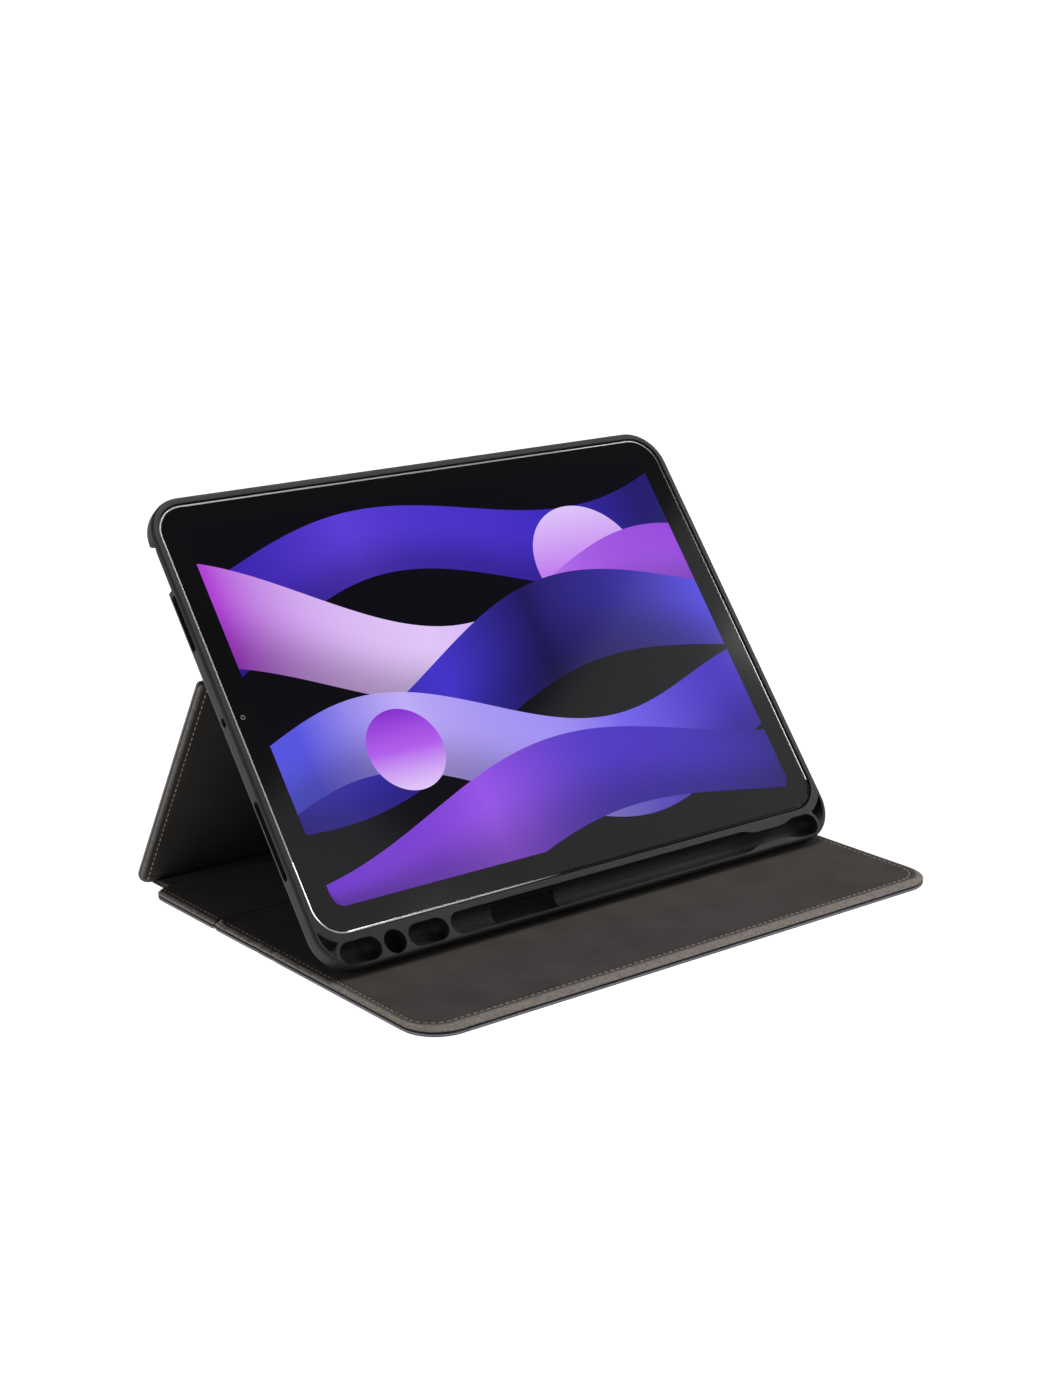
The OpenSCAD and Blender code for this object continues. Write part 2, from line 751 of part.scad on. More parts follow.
front_skin();
front_board();
front_lining();
seat_magnets();
closing_magnets();
rear_skin();
rear_board();
rear_lining();
spine_strip();
support_skin();
support_board();
support_lining();
back_strip();
back_skin();
back_board();
back_tape();
shell();
edge_magnets();
volume_up_cover();
volume_down_cover();
tablet_housing();
cover_glass();
display_panel();
front_camera();
rear_camera_ring();
rear_camera_lens();
battery_cells();
speaker_meshes();
charging_port();
power_button();
volume_up_key();
volume_down_key();
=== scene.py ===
import json
import math

import bpy
import numpy as np
from mathutils import Matrix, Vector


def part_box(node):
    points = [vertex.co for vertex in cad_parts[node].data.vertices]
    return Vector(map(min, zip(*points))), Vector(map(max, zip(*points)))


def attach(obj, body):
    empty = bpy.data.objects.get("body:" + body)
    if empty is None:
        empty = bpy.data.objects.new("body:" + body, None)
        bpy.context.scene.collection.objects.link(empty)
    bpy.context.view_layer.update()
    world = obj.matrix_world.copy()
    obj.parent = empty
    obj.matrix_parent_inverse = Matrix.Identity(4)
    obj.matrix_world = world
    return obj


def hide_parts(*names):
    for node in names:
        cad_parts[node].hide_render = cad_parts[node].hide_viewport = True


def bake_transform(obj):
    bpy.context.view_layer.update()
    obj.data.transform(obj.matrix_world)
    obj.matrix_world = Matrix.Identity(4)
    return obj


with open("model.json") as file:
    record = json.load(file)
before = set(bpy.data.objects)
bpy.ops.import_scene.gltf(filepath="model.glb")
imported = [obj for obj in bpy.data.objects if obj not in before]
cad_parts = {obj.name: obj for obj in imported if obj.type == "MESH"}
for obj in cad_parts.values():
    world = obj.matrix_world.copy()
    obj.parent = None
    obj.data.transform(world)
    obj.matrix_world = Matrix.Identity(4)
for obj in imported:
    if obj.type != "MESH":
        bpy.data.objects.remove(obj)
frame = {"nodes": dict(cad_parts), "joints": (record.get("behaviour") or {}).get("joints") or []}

nodes = frame["nodes"]
joints = {j["name"]: j for j in frame["joints"]}
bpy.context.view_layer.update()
mm = 0.001

# ---- Camera, floor and light --------------------------------------------------------
# A white light table under a large overhead soft box, with weaker ones low at both sides
# and two in front, whose glow shows in the glass. The surround is white at the horizon and
# dim above, so that the hollows stay dark.

# The tablet slides out square to its glass, so that joint's axis gives the screen's tilt.
_, lift_y, lift_z = joints["tablet_lift"]["axis"]
tilt = math.atan2(-lift_y, lift_z)
glass_low, glass_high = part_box("cover_glass")
glass_thickness = 0.7 * mm
screen_centre = np.array([0, (glass_low.y + glass_high.y) / 2, (glass_low.z + glass_high.z) / 2])
screen_centre = screen_centre + 0.5 * glass_thickness * np.array([0, lift_y, lift_z])

camera_from_screen = np.array([-557.5, -733.6, 241.5]) * mm
camera_right = [0.7944, -0.6073, -0.0140]
camera_up = [0.1709, 0.2013, 0.9645]
camera_back = [-0.5829, -0.7686, 0.2637]

camera = bpy.data.objects.new("camera", bpy.data.cameras.new("camera"))
bpy.context.scene.collection.objects.link(camera)
rotation = Matrix((camera_right, camera_up, camera_back)).transposed().to_4x4()
camera.matrix_world = Matrix.Translation(screen_centre + camera_from_screen) @ rotation
camera.data.sensor_width = 36
camera.data.lens = 61.67
camera.data.shift_x = 0.0185
camera.data.shift_y = -0.0078
camera.data.clip_start = 0.01
bpy.context.scene.camera = camera
bpy.context.scene.view_settings.view_transform = "Standard"


def add_mesh(name, vertices, faces, finish=None, body=None, smooth=True):
    """A mesh object in the row frame that rides on a body. Its faces may differ in size."""
    mesh = bpy.data.meshes.new(name)
    vertices = np.asarray(vertices, float).reshape(-1, 3)
    faces = faces.tolist() if isinstance(faces, np.ndarray) else faces
    mesh.from_pydata(vertices.tolist(), [], faces)
    mesh.validate()
    mesh.polygons.foreach_set("use_smooth", [smooth] * len(mesh.polygons))
    piece = bpy.data.objects.new(name, mesh)
    bpy.context.scene.collection.objects.link(piece)
    if finish:
        mesh.materials.append(finish)
    if body:
        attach(piece, body)
    return piece


def new_finish(name, colour, roughness, **sockets):
    """A material whose plain values stand on the shader's own sockets."""
    material = bpy.data.materials.new(name)
    material.use_nodes = True
    shader = material.node_tree.nodes["Principled BSDF"]
    shader.inputs["Base Color"].default_value = (*colour, 1)
    shader.inputs["Roughness"].default_value = roughness
    for socket, value in sockets.items():
        shader.inputs[socket.replace("_", " ")].default_value = value
    return material


def wire(material, source, target):
    """Links a node's output to another's input."""
    material.node_tree.links.new(source, target)


def shader_of(material):
    """A finish's one shader."""
    return material.node_tree.nodes["Principled BSDF"]


def set_colour(material, colour):
    """Feeds the base colour from a node's output."""
    wire(material, colour, shader_of(material).inputs["Base Color"])


def grain(material, size, detail=2.0, kind="ShaderNodeTexNoise", stretch=(1, 1, 1)):
    """A noise or cell pattern whose features are about that size, on Object coordinates."""
    tree = material.node_tree
    place = tree.nodes.new("ShaderNodeTexCoord")
    scale = tree.nodes.new("ShaderNodeMapping")
    scale.inputs["Scale"].default_value = stretch
    pattern = tree.nodes.new(kind)
    pattern.inputs["Scale"].default_value = 1 / size
    if "Detail" in pattern.inputs:
        pattern.inputs["Detail"].default_value = detail
    wire(material, place.outputs["Object"], scale.inputs["Vector"])
    wire(material, scale.outputs["Vector"], pattern.inputs["Vector"])
    return pattern.outputs[0]


def between(material, pattern, dark, light, low=0.35, high=0.65):
    """A colour that runs between two tones by a pattern."""
    ramp = material.node_tree.nodes.new("ShaderNodeValToRGB")
    ramp.color_ramp.elements[0].position = low
    ramp.color_ramp.elements[1].position = high
    ramp.color_ramp.elements[0].color = (*dark, 1)
    ramp.color_ramp.elements[1].color = (*light, 1)
    wire(material, pattern, ramp.inputs["Fac"])
    return ramp.outputs["Color"]


def mottle(material, pattern, dark, light, low=0.35, high=0.65):
    """Gives the base colour a pattern of two tones."""
    colour = between(material, pattern, dark, light, low, high)
    set_colour(material, colour)
    return colour


paper = new_finish("seamless_paper", (0.25, 0.25, 0.25), 0.95, Specular_IOR_Level=0.0,
                   Emission_Color=(1, 1, 1, 1), Emission_Strength=1.0)
mottle(paper, grain(paper, 0.4), (0.24, 0.24, 0.24), (0.26, 0.26, 0.26))
half_floor = 40.0                      # metres, so that its edge is out of sight
floor_corners = np.array([[-1, -1, 0], [1, -1, 0], [1, 1, 0], [-1, 1, 0]])
floor = add_mesh("floor", floor_corners * half_floor, [[0, 1, 2, 3]], paper)

world = bpy.data.worlds.new("studio")
world.use_nodes = True
tree = world.node_tree
tree.nodes["Background"].inputs["Color"].default_value = (1, 1, 1, 1)
direction = tree.nodes.new("ShaderNodeTexCoord")
height = tree.nodes.new("ShaderNodeSeparateXYZ")
sky = tree.nodes.new("ShaderNodeMapRange")     # from the horizon to a quarter of the way up
for socket, value in (("From Min", 0.06), ("From Max", 0.25), ("To Min", 1.1), ("To Max", 0.12)):
    sky.inputs[socket].default_value = value
tree.links.new(direction.outputs["Generated"], height.inputs[0])
tree.links.new(height.outputs["Z"], sky.inputs["Value"])
tree.links.new(sky.outputs["Result"], tree.nodes["Background"].inputs["Strength"])
bpy.context.scene.world = world


def soft_box(name, place, width, height, watts):
    """An area light that faces the screen's middle. Its sizes are in metres."""
    lamp = bpy.data.lights.new(name, "AREA")
    lamp.shape = "RECTANGLE"
    lamp.size = width
    lamp.size_y = height
    lamp.energy = watts
    holder = bpy.data.objects.new(name, lamp)
    bpy.context.scene.collection.objects.link(holder)
    z = np.array(place) - screen_centre
    z /= np.linalg.norm(z)
    x = np.cross([0, 0, 1], z)
    x /= np.linalg.norm(x)
    facing = Matrix((x, np.cross(z, x), z)).transposed().to_4x4()
    holder.matrix_world = Matrix.Translation(place) @ facing


soft_box("key_light", (0.5, 0.0, 1.9), 1.0, 1.0, 27)
soft_box("side_light", (-1.5, 0.15, 0.32), 0.4, 0.4, 2.6)
soft_box("right_light", (0.8, -0.2, 0.5), 0.3, 0.3, 1.6)
soft_box("front_light", (0.58, -0.77, 0.98), 0.25, 0.25, 0.4)
soft_box("long_light", (0.893, -0.552, 0.814), 0.75, 0.3, 1.45)

# ---- Folding cover: the two sections on the table -----------------------------------
# Each section is a board between a leather-look skin and a brushed lining. The two
# layers meet beyond the board and are stitched there, so the border slopes down.

skin_low, skin_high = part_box("front_skin")
cover_half = skin_high.x
panel_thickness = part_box("front_lining")[1].z
spine_fold = np.array(joints["spine_fold"]["pos_m"])
skin_thickness = spine_fold[2]         # the spine folds on the skin's inner face
stitched_edge = 2.8 * mm               # skin and lining together, at a stitched edge
free_corner = 15 * mm
fold_corner = 8 * mm
border = 5.5 * mm
stitch_in = 3.8 * mm                   # from a section's edge to its stitches
free_hem = 2.2 * mm                    # the hem is that much wider at the free edge
past = 30 * mm                         # hems run on past the folds, so none crosses a panel


def inset(x, y, half, y0, y1, r0, r1):
    """Distance inwards from the edge of a rectangle with rounded corners, r0 at y0."""
    r = np.where(y < (y0 + y1) / 2, r0, r1)
    qx = np.abs(x) - (half - r)
    qy = np.abs(y - (y0 + y1) / 2) - ((y1 - y0) / 2 - r)
    outside = np.hypot(np.maximum(qx, 0), np.maximum(qy, 0))
    return r - outside - np.minimum(np.maximum(qx, qy), 0)


# Grid lines in from an edge, close where the rim, the groove and the board's edge lie.
edge_steps = np.array([0, 0.05, 0.12, 0.22, 0.35, 0.5, 0.8, 1.3, 2.0, 2.8, 3.6, 4.2, 4.6, 4.8,
                       5.0, 5.2, 5.4, 5.8, 6.4, 7.2, 8.4, 10, 12.5]) * mm
wide_gap = 3.2 * mm
least_gap = 0.03 * mm


def stations(start, stop, extra=()):
    """Grid lines close together at both ends and at the extra places, and wide between."""
    first, last = start + edge_steps[-1], stop - edge_steps[-1]
    inner = np.linspace(first, last, max(int((last - first) / wide_gap), 2) + 1)
    lines = [start + edge_steps, inner, stop - edge_steps]
    for place, spread in extra:
        lines.append(place + np.linspace(-1, 1, 21) * spread)
    lines = np.unique(np.round(np.concatenate(lines), 6))
    return lines[np.concatenate([[True], np.diff(lines) > least_gap])]


def sheet_grid(half, y0, y1, r0, r1, extra=()):
    """Grid over a rounded rectangle: each row is as wide as the outline is there."""
    across = stations(-half, half) / half
    up = stations(y0, y1, extra)
    r = np.where(up < (y0 + y1) / 2, r0, r1)
    depth = np.maximum(r - np.minimum(up - y0, y1 - up), 0)
    reach_x = half - r + np.sqrt(np.maximum(r**2 - depth**2, 0))
    x = across[None, :] * reach_x[:, None]
    y = np.repeat(up[:, None], len(across), 1)
    return x, y


rim_bulge = 0.12 * mm                  # how far a rim stands out
rim_crown = 0.62                       # how high up the rim it stands out most


def closed_layer(x, y, top, bottom):
    """Vertices and faces of a closed sheet: its top, its underside and a rounded rim."""
    rows, columns = x.shape
    count = rows * columns
    points = np.concatenate([np.stack([x, y, top], -1).reshape(-1, 3),
                             np.stack([x, y, bottom], -1).reshape(-1, 3)])
    index = np.arange(count).reshape(rows, columns)
    a, b = index[:-1, :-1], index[:-1, 1:]
    c, d = index[1:, 1:], index[1:, :-1]
    upper = np.stack([a, b, c, d], -1).reshape(-1, 4)
    lower = np.stack([d, c, b, a], -1).reshape(-1, 4) + count
    rim = np.concatenate([index[0, :], index[1:, -1], index[-1, -2::-1], index[-2:0:-1, 0]])
    after = np.roll(rim, -1)
    ahead = points[after] - points[np.roll(rim, 1)]
    outward = np.stack([ahead[:, 1], -ahead[:, 0], 0 * ahead[:, 0]], -1)
    outward /= np.linalg.norm(outward, axis=1, keepdims=True)
    middle = rim_crown * points[rim] + (1 - rim_crown) * points[rim + count]
    middle = middle + rim_bulge * outward
    band = 2 * count + np.arange(len(rim))
    band_after = np.roll(band, -1)
    wall = np.concatenate([np.stack([rim, band, band_after, after], -1),
                           np.stack([band, rim + count, after + count, band_after], -1)])
    return np.concatenate([points, middle]), np.concatenate([upper, lower, wall])


edge_band = 10                         # nearness to an edge is this less the distance, in mm


def note(piece, name, upper, lower, rim):
    """Keeps each vertex's nearness to an edge on a closed layer, from distances in mm."""
    distance = np.concatenate([np.ravel(upper), np.ravel(lower)])
    distance = np.append(distance, np.full(len(piece.data.vertices) - len(distance), rim))
    store = piece.data.attributes.new(name, "FLOAT", "POINT")
    store.data.foreach_set("value", np.maximum(edge_band - distance, 0).astype(np.float32))


def step(value, low, high):
    """Smooth rise from 0 at low to 1 at high."""
    t = np.clip((value - low) / (high - low), 0, 1)
    return t * t * (3 - 2 * t)


def hump(value, middle, spread):
    """Bell-shaped bump of height 1."""
    return np.exp(-(((value - middle) / spread) ** 2))


rim_radius = 0.5 * mm
rim_roll = 0.3 * mm                    # how far a rim rolls over
lining_roll = 0.22 * mm                # the same on the lining's underside
shoulder = 2.4 * mm                    # the lining's padding also thins over this width
shoulder_roll = 0.4 * mm
lining_groove = 0.3 * mm               # drawn in by the stitches
skin_groove = 0.12 * mm
groove_spread = 0.6 * mm
skin_groove_spread = 0.5 * mm
skin_rim = 1.65 * mm                   # height of the skin's edge, turned up round its core
glue_gap = 0.1 * mm
board_top = 2.4 * mm
onto_board = 5.6 * mm, 6.4 * mm        # where the lining climbs on to the board
under_board = 5 * mm, 6.2 * mm         # where the skin drops under it


def rolled_off(d, depth, width):
    """A rounding of that depth at an edge, gone a width in from it."""
    return depth * np.clip(1 - d / width, 0, 1) ** 2


def lining_top(d, hem):
    """Height of a lining d in from its edge: rounded rim, slope, groove along the hem."""
    slope = stitched_edge + (panel_thickness - stitched_edge) * np.clip(d / border, 0, 1)
    rim = rolled_off(d, rim_roll, rim_radius) + rolled_off(d, shoulder_roll, shoulder)
    return slope - rim - lining_groove * hump(hem, stitch_in, groove_spread)


def lining_bottom(d):
    """Underside of a lining: rolled up at its edge, flat, then raised over the board."""
    over_board = (board_top - skin_rim) * step(d, *onto_board)
    return skin_rim + glue_gap + rolled_off(d, lining_roll, rim_radius) + over_board


def skin_top(d):
    """Inner face of a skin: rounded at its turned edge, then stepping down to the board."""
    down_to_board = (skin_rim - skin_thickness) * step(d, *under_board)
    return skin_rim - rolled_off(d, rim_roll, rim_radius) - down_to_board


def skin_bottom(d):
    """Outer face of a skin, rounded off at its edge and pressed in by the stitches."""
    groove = skin_groove * hump(d, stitch_in, skin_groove_spread)
    return rolled_off(d, rim_roll, 1.3 * rim_radius) + groove


# Skin and lining run on across the crease. The lining gathers there, most of all at its
# two ends, where the stitched border puckers.

base_front = skin_low.y
base_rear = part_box("rear_skin")[1].y
base_outline = (cover_half, base_front, base_rear, free_corner, fold_corner)
crease_y = joints["cover_crease"]["pos_m"][1]
side_gathers = [39.7 * mm, 27.9 * mm]  # smaller puckers along the border
gather_rows = [(crease_y, 9 * mm), (crease_y - 0.6 * mm, 3 * mm)]
gather_rows += [(place, 5 * mm) for place in side_gathers]

crease_sink = 0.45 * mm                # between the boards
border_sink = 0.7 * mm                 # and across the stitched border
pucker_depth = 0.22 * mm
knot_height = 1.1 * mm                 # the bunched lining at the crease's two ends
ridge_height = 0.5 * mm                # which runs on inwards, lower and lower
ripple_height = 0.12 * mm
gather_height, gather_dip = 0.35 * mm, 0.3 * mm
crease_pinch, gather_pinch = 0.4 * mm, 0.2 * mm         # how far the outline is drawn in

x, y = sheet_grid(*base_outline, gather_rows)
d = inset(x, y, *base_outline)
hem = inset(x, y, cover_half, base_front + free_hem, base_rear + past, free_corner, fold_corner)
side = cover_half - np.abs(x)          # distance from the nearer side edge

top = lining_top(d, hem)
in_border = step(side, 0.4 * mm, 1.6 * mm) * (1 - step(side, 5 * mm, 8 * mm))
in_line = hump(y, crease_y, 1 * mm)
top = top - crease_sink * in_line * step(side, 1 * mm, 4 * mm)
top = top - border_sink * in_line * in_border

# Fine puckers across the border, which fade away from the crease.
puckers = 0.5 + 0.5 * np.sin(y / (0.9 * mm) + 2 * np.sin(y / (3.1 * mm)))
top = top - pucker_depth * puckers * in_border * hump(y, crease_y, 30 * mm) * (side < 9 * mm)

# The knot at each end of the crease, the ridge inwards from it, and ripples at its sides.
knot = hump(y, crease_y - 1.1 * mm, 0.9 * mm) * hump(side, 2.8 * mm, 1.8 * mm)
inwards = np.exp(-np.maximum(side - 3 * mm, 0) / (14 * mm))
ridge = hump(y, crease_y - 2.2 * mm, 1.5 * mm) * inwards
top = top + knot_height * knot + ridge_height * ridge * step(side, 0.5 * mm, 3 * mm)
ripples = np.cos((y - crease_y) / (0.75 * mm)) * hump(y, crease_y, 5 * mm)
top = top + ripple_height * ripples * hump(side, 5 * mm, 3.5 * mm)

# The smaller gathers, each with a dip behind it. All of them draw the outline in.
for place in side_gathers:
    top = top + gather_height * hump(y, place, 1.3 * mm) * hump(side, 3.4 * mm, 1.8 * mm)
    behind = hump(y, place + 2.2 * mm, 0.9 * mm)
    top = top - gather_dip * behind * hump(side, 3.5 * mm, 2.2 * mm)
gathered = sum(hump(y, place, 1.8 * mm) for place in side_gathers)
pinch = crease_pinch * hump(y, crease_y, 1.2 * mm) + gather_pinch * gathered
x_pinched = x - np.sign(x) * pinch * hump(side, 0, 3 * mm)

points, faces = closed_layer(x_pinched, y, top, lining_bottom(d))
cover_lining = add_mesh("cover_lining", points, faces)

# The painted highlight on the rolled edge widens on the knot, stops in the crease, and is narrow
# at the right.
in_crease = 3.6 * hump(y, crease_y, 0.7 * mm)
narrowed = 1.1 * step(x, cover_half - 12 * mm, cover_half - 9 * mm)
hidden_face = np.full_like(x, edge_band)
note(cover_lining, "hem", hem / mm - (1.5 * knot - in_crease * (side < 6 * mm)) + narrowed,
     hidden_face, 0)

skin_shade = 0.8                       # only the middle of the skin's rim is painted pale, a painted highlight
skin_sink = 0.25 * mm                  # the crease shows faintly on the outside
under = skin_bottom(d) + skin_sink * hump(y, crease_y, 1.2 * mm)
points, faces = closed_layer(x_pinched, y, skin_top(d), under)
cover_skin = add_mesh("cover_skin", points, faces)
note(cover_skin, "skin_edge", d / mm + skin_shade, d / mm + skin_shade, 0)

for layer in (cover_lining, cover_skin):
    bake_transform(layer)
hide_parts("front_lining", "rear_lining")
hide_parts("front_skin", "rear_skin")

tint_grain = 1.1 * mm                  # size of the mottled spots in a painted edge tone


def linear(red, green, blue):
    """A colour given in 0 to 255 screen values, as the shader's linear values."""
    c = np.array([red, green, blue]) / 255
    return tuple(np.where(c < 0.04045, c / 12.92, ((c + 0.055) / 1.055) ** 2.4))


def tint_edge(material, colour, attribute, near, far, dark, light):
    """Mixes in a painted tone, mottled between dark and light, fully within near of an edge and
    not at all past far, both in mm: painted highlights and painted shade.
    """
    tree = material.node_tree
    read = tree.nodes.new("ShaderNodeAttribute")
    read.attribute_name = attribute
    fade = tree.nodes.new("ShaderNodeMapRange")
    fade.inputs["From Min"].default_value = edge_band - far
    fade.inputs["From Max"].default_value = edge_band - near
    mix = tree.nodes.new("ShaderNodeMix")
    mix.data_type = "RGBA"
    wire(material, read.outputs["Fac"], fade.inputs["Value"])
    wire(material, fade.outputs["Result"], mix.inputs["Factor"])
    wire(material, colour, mix.inputs["A"])
    painted_tone = between(material, grain(material, tint_grain, 4.0), dark, light)
    wire(material, painted_tone, mix.inputs["B"])
    return mix.outputs["Result"]


def emboss(material, *layers):
    """Raises the surface by patterns, each with its depth, one bump on the next."""
    last = None
    for pattern, depth in layers:
        bump = material.node_tree.nodes.new("ShaderNodeBump")
        bump.inputs["Distance"].default_value = depth
        wire(material, pattern, bump.inputs["Height"])
        if last is not None:
            wire(material, last, bump.inputs["Normal"])
        last = bump.outputs["Normal"]
    wire(material, last, shader_of(material).inputs["Normal"])


# Short warm grey nap with faint rubbed patches, with painted highlights: paler up to the
# stitches and palest on its rolled edge. The support's lining is a darker copy, painted shade.
def brushed(name, dark, light, rim_highlight_dark, rim_highlight_light, rolled):
    """Brushed nap, painted paler up to the stitches and palest on an edge rolled that far in, in
    mm: painted highlights.
    """
    cloth = new_finish(name, light, 0.85, Specular_IOR_Level=0.12, Sheen_Weight=0.06,
                       Sheen_Roughness=0.5)
    colour = mottle(cloth, grain(cloth, 0.02, 4.0), dark, light)
    # Painted highlights: paler up to the stitches, palest on the rolled edge.
    to_the_stitches = 3.0, 4.4
    border_highlight = tuple(1.3 * value for value in light)
    colour = tint_edge(cloth, colour, "hem", *to_the_stitches, light, border_highlight)
    colour = tint_edge(cloth, colour, "hem", rolled, rolled + 1.5, rim_highlight_dark, rim_highlight_light)
    set_colour(cloth, colour)
    emboss(cloth, (grain(cloth, 0.0006, 3.0), 0.12 * mm), (grain(cloth, 0.012, 2.0), 0.15 * mm))
    return cloth, colour


nap, nap_colour = brushed("brushed_lining", linear(53, 49, 46), linear(61, 57, 54),
                          linear(108, 101, 95), linear(134, 126, 119), 1.3)
cover_lining.data.materials.append(nap)

# The left border is painted paler still, a painted highlight, except near the free edge.
set_colour(nap, tint_edge(nap, nap_colour, "left_edge_highlight", 0.9, 2.5, linear(126, 120, 114),
                          linear(186, 178, 170)))
out_of_reach = 20                      # in mm, past anything that the tint shows
no_left_highlight = 1 - step(y, base_front + 38 * mm, base_front + 66 * mm)
left_edge_highlight = (x + cover_half) / mm + out_of_reach * no_left_highlight + in_crease - 2.5 * knot
note(cover_lining, "left_edge_highlight", left_edge_highlight, hidden_face, edge_band)


def uneven_gloss(material, pattern, low, high):
    """Lets the roughness wander between two values by a pattern."""
    spread = material.node_tree.nodes.new("ShaderNodeMapRange")
    spread.inputs["To Min"].default_value = low
    spread.inputs["To Max"].default_value = high
    wire(material, pattern, spread.inputs["Value"])
    wire(material, spread.outputs["Result"], shader_of(material).inputs["Roughness"])


# Leather-look skin: near-black with a blue cast, pebbled at about a millimetre.
skin_dark = linear(38, 38, 43)
skin_light = linear(50, 50, 57)

leather = new_finish("pebbled_skin", skin_dark, 0.55, Specular_IOR_Level=0.35)
skin_patches = mottle(leather, grain(leather, 0.03, 3.0), skin_dark, skin_light)
pebbles = grain(leather, 0.0011, kind="ShaderNodeTexVoronoi")
# Painted highlight: the middle of the skin's rim is pale blue-grey.
set_colour(leather, tint_edge(leather, skin_patches, "skin_edge", 0.2, 0.6,
                              linear(98, 98, 108), linear(126, 126, 137)))
emboss(leather, (pebbles, 0.1 * mm), (grain(leather, 0.0004, 3.0), 0.03 * mm))
uneven_gloss(leather, grain(leather, 0.006, 2.0), 0.45, 0.62)
cover_skin.data.materials.append(leather)

# ---- Stitching ----------------------------------------------------------------------
# Polyester thread in a lock stitch, about nine to the inch, sunk into the lining's
# groove. Each stitch is a short rounded bar between two needle holes.

stitch_pitch = 2.8 * mm
stitch_length = 2.15 * mm
thread = 0.46 * mm                     # its diameter, as laid
needle_dip = 0.16 * mm
proud, sunk = 0.22, -0.02              # how far its middle stands out, in diameters
bar_rings, bar_sides = 7, 6
free_of_crease, free_of_end = 2.2 * mm, 2 * mm         # no stitches nearer to a fold


def outline_path(half, y0, y1, r0, r1, into):
    """Points round a rectangle with rounded corners, moved in by a distance."""
    half, y0, y1 = half - into, y0 + into, y1 - into
    r0, r1 = max(r0 - into, 0.5 * mm), max(r1 - into, 0.5 * mm)
    corners = [(half - r0, y0 + r0, r0, -90), (half - r1, y1 - r1, r1, 0),
               (-half + r1, y1 - r1, r1, 90), (-half + r0, y0 + r0, r0, 180)]
    points = []
    for cx, cy, r, start in corners:
        a = np.radians(np.linspace(start, start + 90, 13))
        points.append(np.stack([cx + r * np.cos(a), cy + r * np.sin(a)], -1))
    points = np.concatenate(points)
    return np.concatenate([points, points[:1]])


def stitch_places(path, pitch):
    """Middles and directions of the stitches, evenly spaced along a path of points."""
    leg = np.diff(path, axis=0)
    length = np.hypot(leg[:, 0], leg[:, 1])
    run = np.concatenate([[0], np.cumsum(length)])
    count = max(int(round(run[-1] / pitch)), 1)
    s = (np.arange(count) + 0.5) * run[-1] / count
    i = np.clip(np.searchsorted(run, s) - 1, 0, len(leg) - 1)
    way = leg[i] / length[i, None]
    return path[i] + way * (s - run[i])[:, None], way


def stitch_bars(middles, ways, heights):
    """Rounded bars, full in the middle, that taper and dip in towards their two ends."""
    t = np.linspace(-1, 1, bar_rings)
    a = np.linspace(0, 2 * np.pi, bar_sides, endpoint=False)
    r = thread / 2 * np.sqrt(np.maximum(1 - t**4, 0.02))
    along = t * stitch_length / 2
    dip = -needle_dip * t**4
    n = len(middles)
    flow = ways[:, None, None, :] * along[None, :, None, None]
    side_way = np.stack([-ways[:, 1], ways[:, 0]], -1)
    sway = side_way[:, None, None, :] * (r[:, None] * np.cos(a))[None, :, :, None]
    plan = middles[:, None, None, :] + flow + sway
    z = heights[:, None, None] + dip[None, :, None] + (r[:, None] * np.sin(a))[None]
    points = np.concatenate([plan, z[..., None]], -1).reshape(-1, 3)
    ring = np.arange(bar_sides)
    after = (ring + 1) % bar_sides
    k = np.arange(bar_rings - 1)[:, None] * bar_sides
    quads = np.stack([k + ring, k + after, k + bar_sides + after, k + bar_sides + ring], -1)
    quads = quads.reshape(-1, 4)
    per_bar = bar_rings * bar_sides
    quads = (quads[None] + (np.arange(n) * per_bar)[:, None, None]).reshape(-1, 4).tolist()
    ends = []
    for start in np.arange(n) * per_bar:
        ends.append([int(start + i) for i in ring[::-1]])
        ends.append([int(start + per_bar - bar_sides + i) for i in ring])
    return points, quads + ends


yarn = new_finish("polyester_thread", linear(138, 131, 125), 0.6, Sheen_Weight=0.3)
mottle(yarn, grain(yarn, 0.0008), linear(120, 113, 108), linear(150, 143, 137))
emboss(yarn, (grain(yarn, 0.0003, 1.0), 0.05 * mm))

base_path = outline_path(cover_half, base_front + free_hem, base_rear + past, free_corner,
                         fold_corner, stitch_in)
middles, ways = stitch_places(base_path, stitch_pitch)
clear = np.abs(middles[:, 1] - crease_y) > free_of_crease
clear = clear & (middles[:, 1] < base_rear - free_of_end)
for name, part, body in (("front_stitching", middles[:, 1] < crease_y, "front_section"),
                         ("rear_stitching", middles[:, 1] >= crease_y, "rear_section")):
    pick = part & clear
    inward = inset(*middles[pick].T, *base_outline)
    height = lining_top(inward, np.full(pick.sum(), stitch_in)) + thread * proud
    points, faces = stitch_bars(middles[pick], ways[pick], height)
    add_mesh(name, points, faces, yarn, body)

# ---- Support panel ------------------------------------------------------------------
# The same build as the base, stitched down both sides, leaning from the spine to the fold
# behind the shell.

# The two folds that the panel runs between give its slope and its length.
back_fold = np.array(joints["back_fold"]["pos_m"])
reach = back_fold - spine_fold
support_length = math.sqrt(reach @ reach - skin_thickness**2)
support_turn = math.atan2(reach[2], reach[1]) + math.atan2(skin_thickness, support_length)


def turned(points, angle, origin):
    """Points turned about X by an angle, then moved so that 0,0,0 lands on the origin."""
    c, s = math.cos(angle), math.sin(angle)
    turn = np.array([[1, 0, 0], [0, c, -s], [0, s, c]])
    return points @ turn.T + origin


